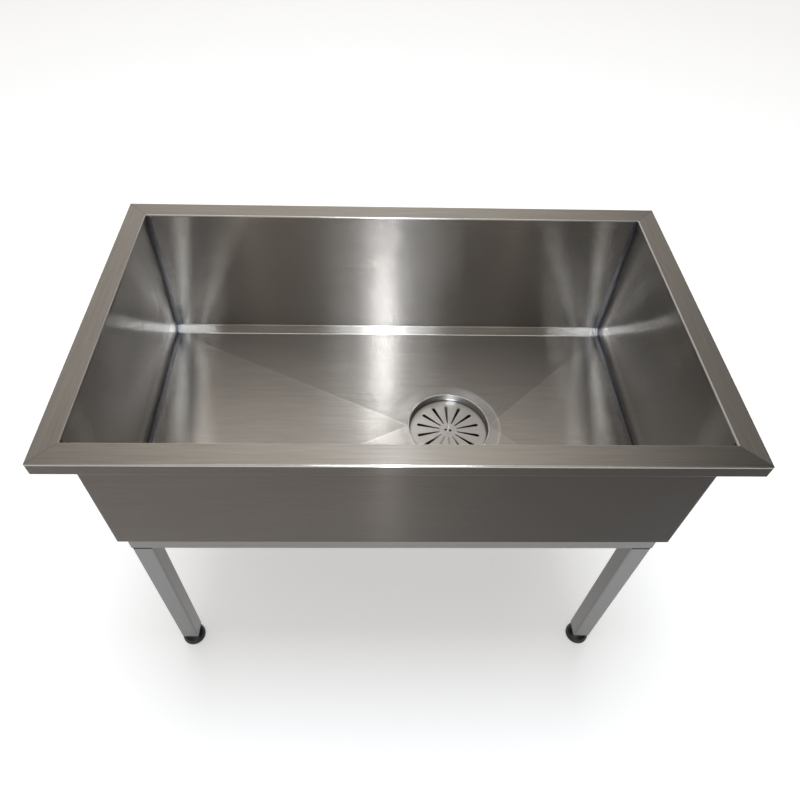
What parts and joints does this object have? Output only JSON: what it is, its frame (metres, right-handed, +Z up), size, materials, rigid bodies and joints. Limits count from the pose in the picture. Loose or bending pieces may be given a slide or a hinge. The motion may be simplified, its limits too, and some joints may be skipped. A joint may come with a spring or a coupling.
{
  "type": "utility laundry sink",
  "caption": "Free-standing stainless utility sink: deep rectangular bowl with a turned-down rim, offset strainer waste, and square tube legs with levelling feet.",
  "frame": {"origin": "on the ground under the middle of the rim, feet screwed home", "axes": "+X to the right along the long side, +Y to the back, +Z up"},
  "size_m": [1.06, 0.64, 0.816],
  "materials": {
    "bowl_steel": "brushed along the folds",
    "cup_steel": "spun, satin",
    "turned_steel": "turned",
    "plate_steel": "fine satin",
    "wire_steel": "drawn, bright",
    "frame_steel": "satin tube",
    "plated_steel": "zinc plated",
    "black_nylon": "moulded, slight sheen"
  },
  "bodies": {
    "sink": {"bowl_wrapper": "bowl_steel", "left_end_panel": "bowl_steel", "right_end_panel": "bowl_steel", "strainer_cup": "cup_steel", "waste_tail": "turned_steel", "front_rail": "frame_steel", "back_rail": "frame_steel", "left_rail": "frame_steel", "right_rail": "frame_steel", "front_left_leg": "frame_steel", "front_left_leg_insert": "black_nylon", "front_left_insert_nut": "plated_steel", "front_right_leg": "frame_steel", "front_right_leg_insert": "black_nylon", "front_right_insert_nut": "plated_steel", "back_left_leg": "frame_steel", "back_left_leg_insert": "black_nylon", "back_left_insert_nut": "plated_steel", "back_right_leg": "frame_steel", "back_right_leg_insert": "black_nylon", "back_right_insert_nut": "plated_steel"},
    "strainer": {"strainer_plate": "plate_steel", "strainer_pull": "wire_steel"},
    "front_left_leveller": {"front_left_foot": "black_nylon", "front_left_foot_stud": "plated_steel"},
    "front_right_leveller": {"front_right_foot": "black_nylon", "front_right_foot_stud": "plated_steel"},
    "back_left_leveller": {"back_left_foot": "black_nylon", "back_left_foot_stud": "plated_steel"},
    "back_right_leveller": {"back_right_foot": "black_nylon", "back_right_foot_stud": "plated_steel"}
  },
  "joints": [
    {"name": "strainer_lift", "type": "slide", "parent": "sink", "child": "strainer", "axis": [0, 0, 1], "range_m": [0, 0.35]},
    {"name": "front_left_foot_screw", "type": "slide", "parent": "sink", "child": "front_left_leveller", "axis": [0, 0, -1], "range_m": [0, 0.02]},
    {"name": "front_right_foot_screw", "type": "slide", "parent": "sink", "child": "front_right_leveller", "axis": [0, 0, -1], "range_m": [0, 0.02]},
    {"name": "back_left_foot_screw", "type": "slide", "parent": "sink", "child": "back_left_leveller", "axis": [0, 0, -1], "range_m": [0, 0.02]},
    {"name": "back_right_foot_screw", "type": "slide", "parent": "sink", "child": "back_right_leveller", "axis": [0, 0, -1], "range_m": [0, 0.02]}
  ]
}
